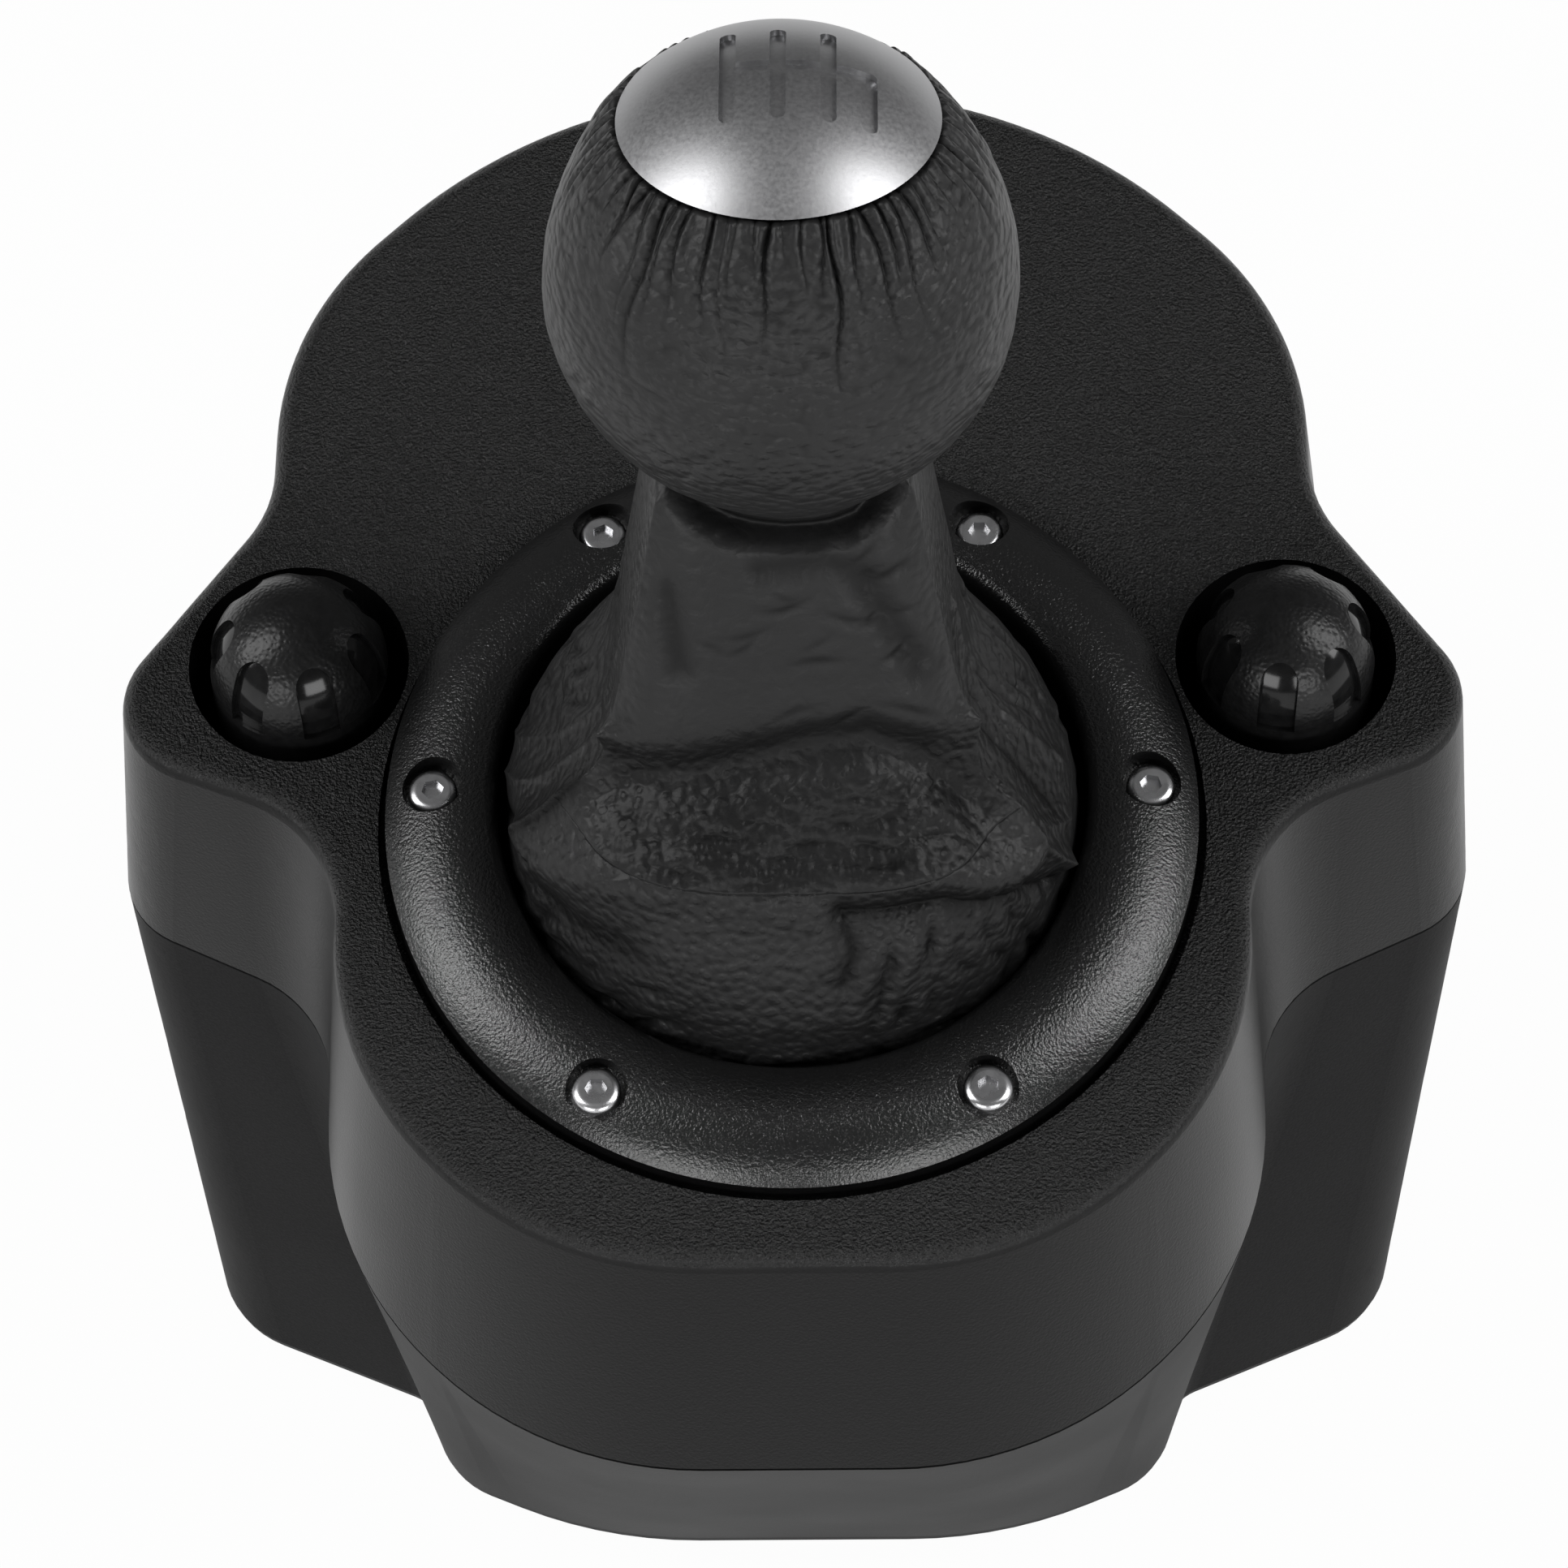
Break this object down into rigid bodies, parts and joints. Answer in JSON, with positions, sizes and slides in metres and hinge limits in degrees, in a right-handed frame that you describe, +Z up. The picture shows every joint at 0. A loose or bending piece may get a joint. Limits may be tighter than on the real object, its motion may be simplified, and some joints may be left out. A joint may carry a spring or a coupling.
{
  "type": "gear shifter for a racing simulator",
  "caption": "Tabletop racing gear shifter: a ball knob on a leaning lever in a leather boot, gated fore-aft and side to side, on a black case with turning clamp knobs.",
  "frame": {"origin": "middle of the bottom of the part's box, on the table under the case", "axes": "+Z up, +X to the driver's right, +Y away from the driver"},
  "size_m": [0.1434, 0.153, 0.2104],
  "materials": {
    "case_top": "fine textured black plastic",
    "case_bottom": "fine textured black plastic",
    "case_plate": "black plastic",
    "bezel": "satin black plastic",
    "boot_leather": "soft black leather",
    "knob_leather": "wrinkled black leather",
    "satin_metal": "satin",
    "steel": "polished",
    "plate_steel": "black coated steel",
    "zinc_steel": "zinc plated",
    "grip_plastic": "black plastic with glossy windows",
    "inner_plastic": "glass filled black plastic",
    "slide_plastic": "natural low friction plastic",
    "rubber": "black rubber",
    "brass": "turned brass",
    "board": "green board"
  },
  "bodies": {
    "case": {"upper_housing": "case_top", "lower_housing": "case_bottom", "base_plate": "case_plate", "ballast_plate": "plate_steel", "bezel_ring": "bezel", "bezel_screws": "steel", "boot_frame": "inner_plastic", "boot": "boot_leather", "case_screws": "zinc_steel", "base_screws": "zinc_steel", "rubber_feet": "rubber", "mount_inserts": "brass", "mechanism_frame": "plate_steel", "frame_screws": "zinc_steel", "gate_plate": "zinc_steel", "gate_screws": "zinc_steel", "pivot_bushes": "slide_plastic", "fore_aft_sensor": "inner_plastic", "detent_plate": "slide_plastic", "circuit_board": "board", "cable_gland": "rubber", "clamp_bush_left": "slide_plastic", "clamp_bush_right": "slide_plastic"},
    "yoke": {"gimbal_yoke": "inner_plastic", "fore_aft_pins": "steel", "side_sensor": "inner_plastic", "centring_springs": "steel"},
    "lever": {"gimbal_block": "slide_plastic", "side_pins": "steel", "lever_tube": "steel", "reverse_sensor": "inner_plastic", "boot_collar": "inner_plastic"},
    "plunger": {"detent_plunger": "slide_plastic", "detent_spring": "steel"},
    "knob": {"push_rod": "steel", "reverse_flag": "inner_plastic", "return_spring": "steel", "knob_insert": "brass", "knob_core": "inner_plastic", "knob_leather": "knob_leather", "knob_cap": "satin_metal"},
    "turn_knob_left": {"clamp_knob_left": "grip_plastic", "retaining_ring_left": "steel"},
    "jaw_left": {"clamp_screw_left": "steel", "clamp_guide_left": "steel", "clamp_jaw_left": "zinc_steel", "jaw_pad_left": "rubber"},
    "turn_knob_right": {"clamp_knob_right": "grip_plastic", "retaining_ring_right": "steel"},
    "jaw_right": {"clamp_screw_right": "steel", "clamp_guide_right": "steel", "clamp_jaw_right": "zinc_steel", "jaw_pad_right": "rubber"}
  },
  "joints": [
    {"name": "fore_aft", "type": "hinge", "parent": "case", "child": "yoke", "pos_m": [0, -0.04346, 0.046], "axis": [1, 0, 0], "range_deg": [-10, 10], "stiffness_Nm_per_rad": 0.6, "deforming": ["boot"]},
    {"name": "left_right", "type": "hinge", "parent": "yoke", "child": "lever", "pos_m": [0, -0.04346, 0.046], "axis": [0, 0.9744, -0.225], "range_deg": [-10.5, 10.5], "stiffness_Nm_per_rad": 0.6},
    {"name": "push_down", "type": "slide", "parent": "lever", "child": "knob", "axis": [0, 0.225, 0.9744], "range_m": [-0.005, 0], "stiffness_N_per_m": 900, "springref_m": 0.01, "deforming": ["return_spring"]},
    {"name": "detent_slide", "type": "slide", "parent": "lever", "child": "plunger", "axis": [0, 0.225, 0.9744], "range_m": [0, 0.0012], "stiffness_N_per_m": 1500, "springref_m": -0.004, "deforming": ["detent_spring"]},
    {"name": "turn_knob_left", "type": "hinge", "parent": "case", "child": "turn_knob_left", "pos_m": [-0.051, -0.00472, 0.114], "axis": [0, 0, 1], "range_deg": [-3960, 0]},
    {"name": "jaw_slide_left", "type": "slide", "parent": "case", "child": "jaw_left", "axis": [0, 0, 1], "range_m": [-0.044, 0]},
    {"name": "turn_knob_right", "type": "hinge", "parent": "case", "child": "turn_knob_right", "pos_m": [0.051, -0.00472, 0.114], "axis": [0, 0, 1], "range_deg": [-3960, 0]},
    {"name": "jaw_slide_right", "type": "slide", "parent": "case", "child": "jaw_right", "axis": [0, 0, 1], "range_m": [-0.044, 0]}
  ],
  "couplings": [
    {"joint": "turn_knob_left", "follows": "jaw_slide_left", "rad_per_m": 1570.8},
    {"joint": "turn_knob_right", "follows": "jaw_slide_right", "rad_per_m": 1570.8}
  ]
}
